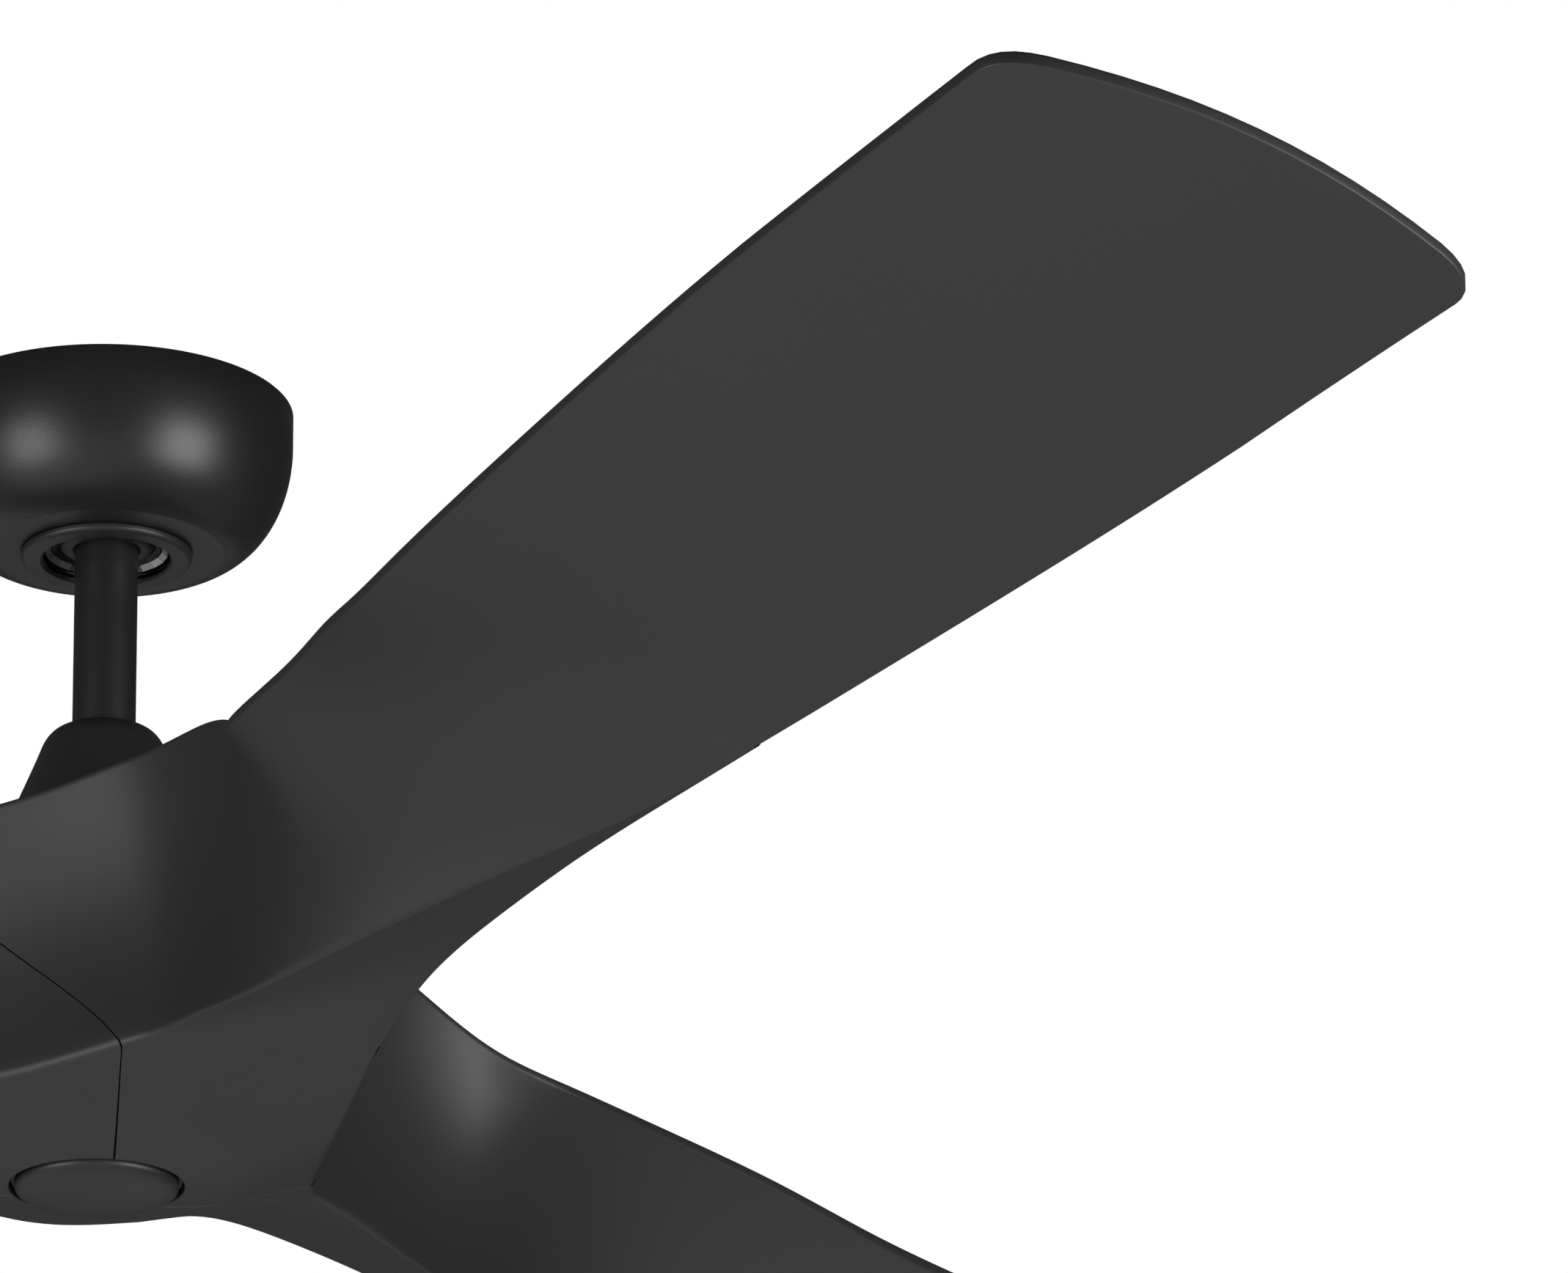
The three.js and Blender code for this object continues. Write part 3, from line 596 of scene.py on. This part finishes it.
    # returns along the seams, the cap ring and the hole in the hub top
    for face, inward, outward in ((main[0], inward_at(rows[0]), unit(main[0] - main[1])),
                                  (wall[-1], turn(inward_at(n_rows[-1]), STEP), unit(wall[-1] - wall[-2])),
                                  (fan[0], (0, 0, 1), unit(fan[0] - fan[1])),
                                  (fan[-1], (0, 0, 1), unit(fan[-1] - fan[-2])),
                                  (crown[0], (0, 0, -1), unit(crown[0] - crown[1])),
                                  (crown[-1], (0, 0, -1), unit(crown[-1] - crown[-2])),
                                  (crown[:, -1], (0, 0, -1), unit(crown[:, -1] - crown[:, -2]))):
        surface.grid(lip(face, inward, outward))
    return surface.make(name, sharp=35)


for index in range(BLADES):
    piece = build_blade(f"blade_{index + 1}_shell")
    piece.data.transform(Matrix.Rotation(BLADE_1_ANGLE + index * STEP, 4, "Z"))
    add(piece, "rotor", "satin_black_plastic", BLADE_BLACK, f"blade_{index + 1}")


# ---------- canopy and its trim ring ----------
def build_canopy():
    outside = bezier(((62.6, -11.5), (62.6, -31), (53, -47.4), (40.5, -50.2)), 48)
    inside = bezier(((39.5, -49.1), (51.8, -46), (60.2, -31), (60.6, -13)), 30)
    profile = [(62.6, -0.5), *outside,
               *bezier(((40.5, -50.2), (39.3, -50.7), (37.5, -50.7)), 6)[1:], (23.3, -50.7),
               *arc((23.3, -49.95), 0.75, 270, 90, 8), (37.5, -49.2), *inside, (61.1, -10), (61.1, 0),
               (62.1, 0), (62.6, -0.5)]
    return turned("canopy_shell", profile, sharp=50)


def build_trim_ring():
    profile = rounded([(21.4, -52.5, 0.4), (22.4, -53.7, 0.7), (27.7, -53.7, 0.9), (28.9, -52.6, 0.7),
                       (28.9, -51.0, 0.2), (27.6, -51.0, 0.1), (27.6, -52.3, 0.3), (22.6, -52.3, 0.3),
                       (21.8, -51.6, 0.2)], 0.3)
    return turned("canopy_trim_ring_fine", profile)


add(build_canopy(), "ceiling_side", "black_coated_steel", COAT_BLACK, "canopy")
add(build_trim_ring(), "ceiling_side", "satin_black_plastic", HUB_BLACK, "canopy_trim_ring")


# ---------- hanger ball, downrod and coupling cover ----------
def build_ball():
    radius, centre, bore = 22.0, -33.0, 10.95
    low = math.degrees(math.asin((-50 - centre) / radius))
    high = math.degrees(math.asin((-22 - centre) / radius))
    skin = arc((0, centre), radius, low + 3, high - 3, 40)
    profile = [(bore, -49.6), (bore + 0.5, -50), (radius * math.cos(math.radians(low)) - 1, -50), *skin,
               (radius * math.cos(math.radians(high)) - 1, -22), (bore, -22), (bore, -49.6)]
    return turned("hanger_ball_fine", profile)


def build_rod():
    profile = rounded([(8, -145), (10.65, -145), (10.65, -20), (8, -20)], 0.5)
    return turned("downrod_fine", profile, segments=128)


def build_coupling_cover():
    shoulder = bezier(((12.4, -114.9), (16.2, -115.3), (19.2, -117.6), (21.0, -122.5)), 16)
    cone = bezier(((21.0, -122.5), (24, -131), (33.5, -153), (40.4, -169.8)), 24)
    inside = bezier(((38.4, -171.2), (31.5, -153), (22.5, -131), (17.5, -119.5)), 20)
    collar = bezier(((11.1, -115.4), (11.4, -114.9), (12.4, -114.9)), 4)
    hem = bezier(((40.4, -169.8), (41, -171.4), (39.8, -171.5)), 6)
    profile = [(10.95, -116.6), (11.1, -115.4), *collar[1:], *shoulder[1:], *cone[1:], *hem[1:],
               (38.9, -171.5), *inside, (14, -117.6), (10.95, -117.2), (10.95, -116.6)]
    return turned("coupling_cover_fine", profile)


add(build_ball(), "hanging", "black_nylon", NYLON_BLACK, "hanger_ball")
add(build_rod(), "hanging", "black_coated_steel", COAT_BLACK, "downrod")
add(build_coupling_cover(), "hanging", "satin_black_plastic", HUB_BLACK, "coupling_cover")


# ---------- hub covers ----------
def build_top_cover():
    profile = [*bezier(((44.6, -171.4), (50, -170.4), (54, -169.4), (58.2, -168.9)), 12),
               *bezier(((58.2, -168.9), (59.4, -168.8), (59.5, -170)), 6)[1:], (59.5, -176), (57.7, -176),
               *bezier(((57.7, -171), (53, -171.6), (44.6, -173.4)), 8), (43.8, -173.2), (43.8, -171.8),
               (44.6, -171.4)]
    return turned("rotor_top_cover_fine", profile)


def build_cap():
    face = bezier(((0, -281.2), (11, -281.2), (20.5, -280.4), (25.3, -278.2)), 32)
    rim = bezier(((25.3, -278.2), (27.2, -277.3), (27.2, -275.8)), 8)
    inside = bezier(((25.6, -276.0), (20, -278.8), (11, -279.6), (0, -279.6)), 16)
    return turned("bottom_cap_fine", [*face, *rim[1:], (27.2, -274.4), (25.6, -274.4), *inside])


add(build_top_cover(), "rotor", "satin_black_plastic", HUB_BLACK, "rotor_top_cover")
add(build_cap(), "rotor", "satin_black_plastic", HUB_BLACK, "bottom_cap")

# ---------- everything that keeps its CAD shape ----------
slots = {part["node"]: part["material_slot"] for part in frame["record"]["subparts"]}
for node, piece in frame["nodes"].items():
    paint(piece, BY_SLOT[slots[node]])

# ---------- stage: floor, backdrop, lights, camera ----------
CAMERA_DISTANCE = 3.453
CAMERA_HEIGHT = -1.437
CAMERA_TURN = math.radians(-23)
CAMERA_YAW = 0.0662
CAMERA_PITCH = 0.3745
CAMERA_ROLL = -0.0086
SENSOR_WIDTH = 36
LENS = 252.5725
CANOPY_MIDDLE = (0, 0, -0.03)
BACKDROP_RADIUS = 12
FLOOR_HALF = 9
FLOOR_Z = -2.6


def make_camera():
    data = bpy.data.cameras.new("camera")
    data.sensor_width = SENSOR_WIDTH
    data.lens = LENS
    data.clip_end = 60
    camera = bpy.data.objects.new("camera", data)
    bpy.context.scene.collection.objects.link(camera)
    yaw, pitch, roll = CAMERA_YAW, CAMERA_PITCH, CAMERA_ROLL
    ahead = Vector((math.sin(yaw) * math.cos(pitch), math.cos(yaw) * math.cos(pitch), math.sin(pitch)))
    right = Vector((math.cos(yaw), -math.sin(yaw), 0))
    up = right.cross(ahead)
    tilted_right = right * math.cos(roll) + up * math.sin(roll)
    tilted_up = -right * math.sin(roll) + up * math.cos(roll)
    axes = Matrix((tilted_right, tilted_up, -ahead)).transposed().to_4x4()
    place = Matrix.Translation((0, -CAMERA_DISTANCE, CAMERA_HEIGHT)) @ axes
    camera.matrix_world = Matrix.Rotation(CAMERA_TURN, 4, "Z") @ place
    bpy.context.scene.camera = camera


make_camera()


def softbox(name, place, aim, size, power):
    data = bpy.data.lights.new(name, "AREA")
    data.shape = "RECTANGLE"
    data.size, data.size_y = size
    data.energy = power
    light = bpy.data.objects.new(name, data)
    bpy.context.scene.collection.objects.link(light)
    light.location = place
    light.rotation_euler = (Vector(aim) - Vector(place)).to_track_quat("-Z", "Y").to_euler()


def camera_side(x, y, z):
    """A point given with Y away from the camera and X to its right, in the row frame."""
    return Matrix.Rotation(CAMERA_TURN, 4, "Z") @ Vector((x, y, z))


def sky_ramp(nodes, links, value, stops):
    """Greys for a world direction's component, which runs from -1 to 1."""
    shift = nodes.new("ShaderNodeMapRange")
    shift.inputs["From Min"].default_value = -1
    shift.inputs["From Max"].default_value = 1
    links.new(value, shift.inputs["Value"])
    ramp = nodes.new("ShaderNodeValToRGB")
    links.new(shift.outputs["Result"], ramp.inputs["Fac"])
    while len(ramp.color_ramp.elements) < len(stops):
        ramp.color_ramp.elements.new(0.5)
    for element, (at, grey) in zip(ramp.color_ramp.elements, stops):
        element.position = (at + 1) / 2
        element.color = (grey, grey, grey, 1)
    return ramp.outputs["Color"]


def make_world():
    """Studio surroundings: brighter low down, dim overhead, and darker towards one side."""
    world = bpy.data.worlds.new("studio")
    bpy.context.scene.world = world
    world.use_nodes = True
    nodes, links = world.node_tree.nodes, world.node_tree.links
    place = nodes.new("ShaderNodeTexCoord")
    parts = nodes.new("ShaderNodeSeparateXYZ")
    links.new(place.outputs["Generated"], parts.inputs["Vector"])
    across = nodes.new("ShaderNodeVectorMath")
    across.operation = "DOT_PRODUCT"
    across.inputs[1].default_value = camera_side(1, 0, 0)
    links.new(place.outputs["Generated"], across.inputs[0])
    height = sky_ramp(nodes, links, parts.outputs["Z"],
                      ((-1, 0.6), (-0.76, 0.6), (-0.5, 0.55), (-0.34, 0.3), (-0.16, 0.08), (1, 0.08)))
    side = sky_ramp(nodes, links, across.outputs["Value"],
                    ((-1, 1.0), (-0.5, 0.95), (0, 0.72), (0.2, 1.0), (0.4, 0.5), (0.7, 0.2), (1, 0.2)))
    links.new(height, nodes["Background"].inputs["Color"])
    links.new(side, nodes["Background"].inputs["Strength"])


make_world()
softbox("left_box", camera_side(-1.5, -1.22, -0.68), CANOPY_MIDDLE, (1.0, 1.0), 18)
softbox("right_box", camera_side(1.5, -1.22, -0.68), CANOPY_MIDDLE, (1.1, 1.1), 30)


def make_backdrop():
    """A plain white surround, seen by the camera only."""
    mesh = bpy.data.meshes.new("backdrop")
    shape = bmesh.new()
    bmesh.ops.create_icosphere(shape, subdivisions=4, radius=BACKDROP_RADIUS)
    shape.to_mesh(mesh)
    shape.free()
    backdrop = bpy.data.objects.new("backdrop", mesh)
    bpy.context.scene.collection.objects.link(backdrop)
    for kind in ("diffuse", "glossy", "transmission", "volume_scatter", "shadow"):
        setattr(backdrop, "visible_" + kind, False)
    material = bpy.data.materials.new("plain_white")
    material.use_nodes = True
    shader = material.node_tree.nodes["Principled BSDF"]
    shader.inputs["Base Color"].default_value = (0, 0, 0, 1)
    shader.inputs["Specular IOR Level"].default_value = 0
    shader.inputs["Emission Color"].default_value = (1, 1, 1, 1)
    shader.inputs["Emission Strength"].default_value = 1.0
    backdrop.data.materials.append(material)


make_backdrop()


def make_floor():
    """A pale floor that diffuse and glossy rays pass through, so that the fan sees the world's low light."""
    mesh = bpy.data.meshes.new("floor")
    corners = [(-FLOOR_HALF, -FLOOR_HALF, 0), (FLOOR_HALF, -FLOOR_HALF, 0),
               (FLOOR_HALF, FLOOR_HALF, 0), (-FLOOR_HALF, FLOOR_HALF, 0)]
    mesh.from_pydata(corners, [], [(0, 1, 2, 3)])
    floor = bpy.data.objects.new("floor", mesh)
    bpy.context.scene.collection.objects.link(floor)
    floor.location.z = FLOOR_Z
    for kind in ("diffuse", "glossy"):
        setattr(floor, "visible_" + kind, False)
    material = bpy.data.materials.new("pale_floor")
    material.use_nodes = True
    shader = material.node_tree.nodes["Principled BSDF"]
    shader.inputs["Base Color"].default_value = (0.8, 0.8, 0.8, 1)
    shader.inputs["Roughness"].default_value = 0.8
    shader.inputs["Emission Color"].default_value = (1, 1, 1, 1)
    shader.inputs["Emission Strength"].default_value = 0.6
    floor.data.materials.append(material)


make_floor()
bpy.context.scene.view_settings.view_transform = "Standard"
